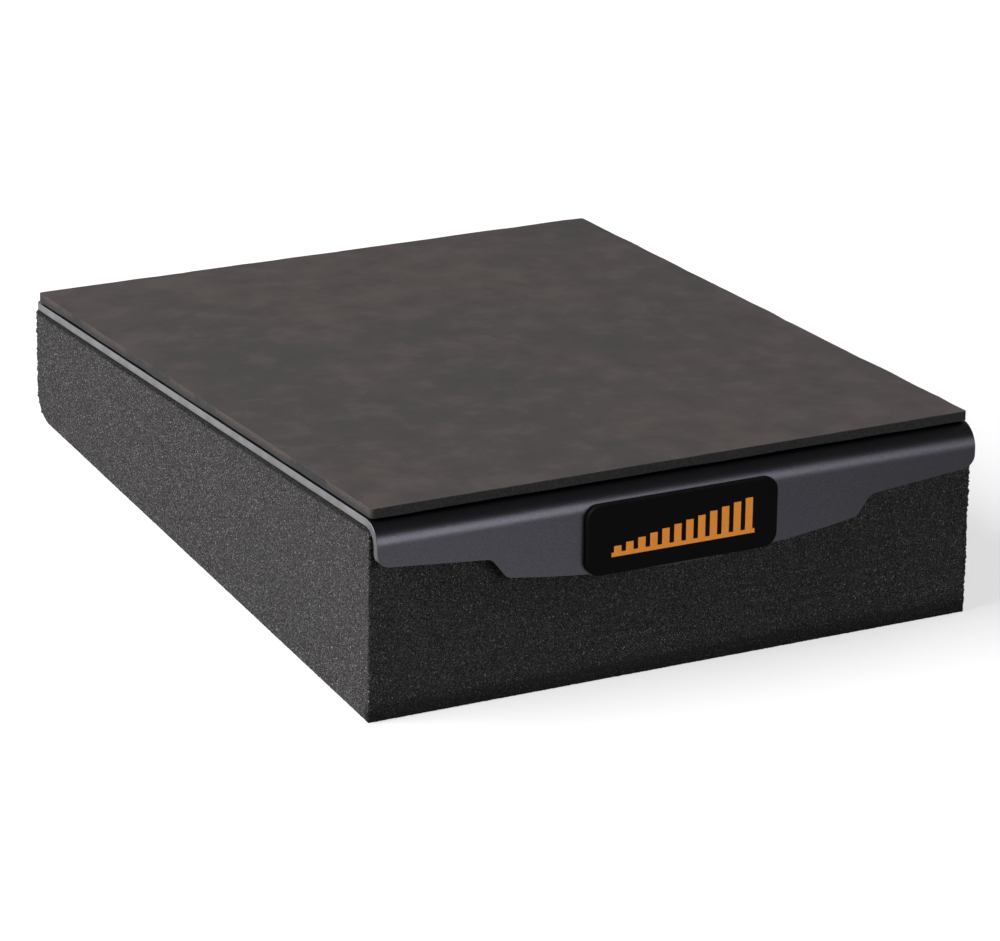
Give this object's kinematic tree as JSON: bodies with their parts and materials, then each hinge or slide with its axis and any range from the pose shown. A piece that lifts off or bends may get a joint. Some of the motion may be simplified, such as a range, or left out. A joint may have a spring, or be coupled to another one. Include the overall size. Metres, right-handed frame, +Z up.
{
  "type": "speaker isolation pad",
  "caption": "Wedge-shaped foam isolation pad with a steel deck, a rubber top sheet and a folded front lip that carries a small badge, to stand a desktop speaker on.",
  "frame": {"origin": "middle of the flat underside that rests on the desk", "axes": "+Z up, the badged front lip faces -Y, +X to the right of the front; the deck leans back by about 5.6 degrees, so its front edge is the high one"},
  "size_m": [0.2022, 0.2454, 0.0639],
  "materials": {
    "foam": "open-cell polyurethane foam, matt, charcoal",
    "painted_steel": "satin gunmetal paint",
    "rubber_sheet": "matt, faintly smudged",
    "adhesive": "black double-sided film",
    "badge_plastic": "black, half gloss",
    "badge_ink": "orange screen print"
  },
  "bodies": {
    "root": {"foam_base": "foam", "foam_bond_film": "adhesive", "steel_plate": "painted_steel", "pad_bond_film": "adhesive", "top_pad": "rubber_sheet", "badge_tape": "adhesive", "badge": "badge_plastic", "badge_print": "badge_ink"}
  },
  "joints": []
}
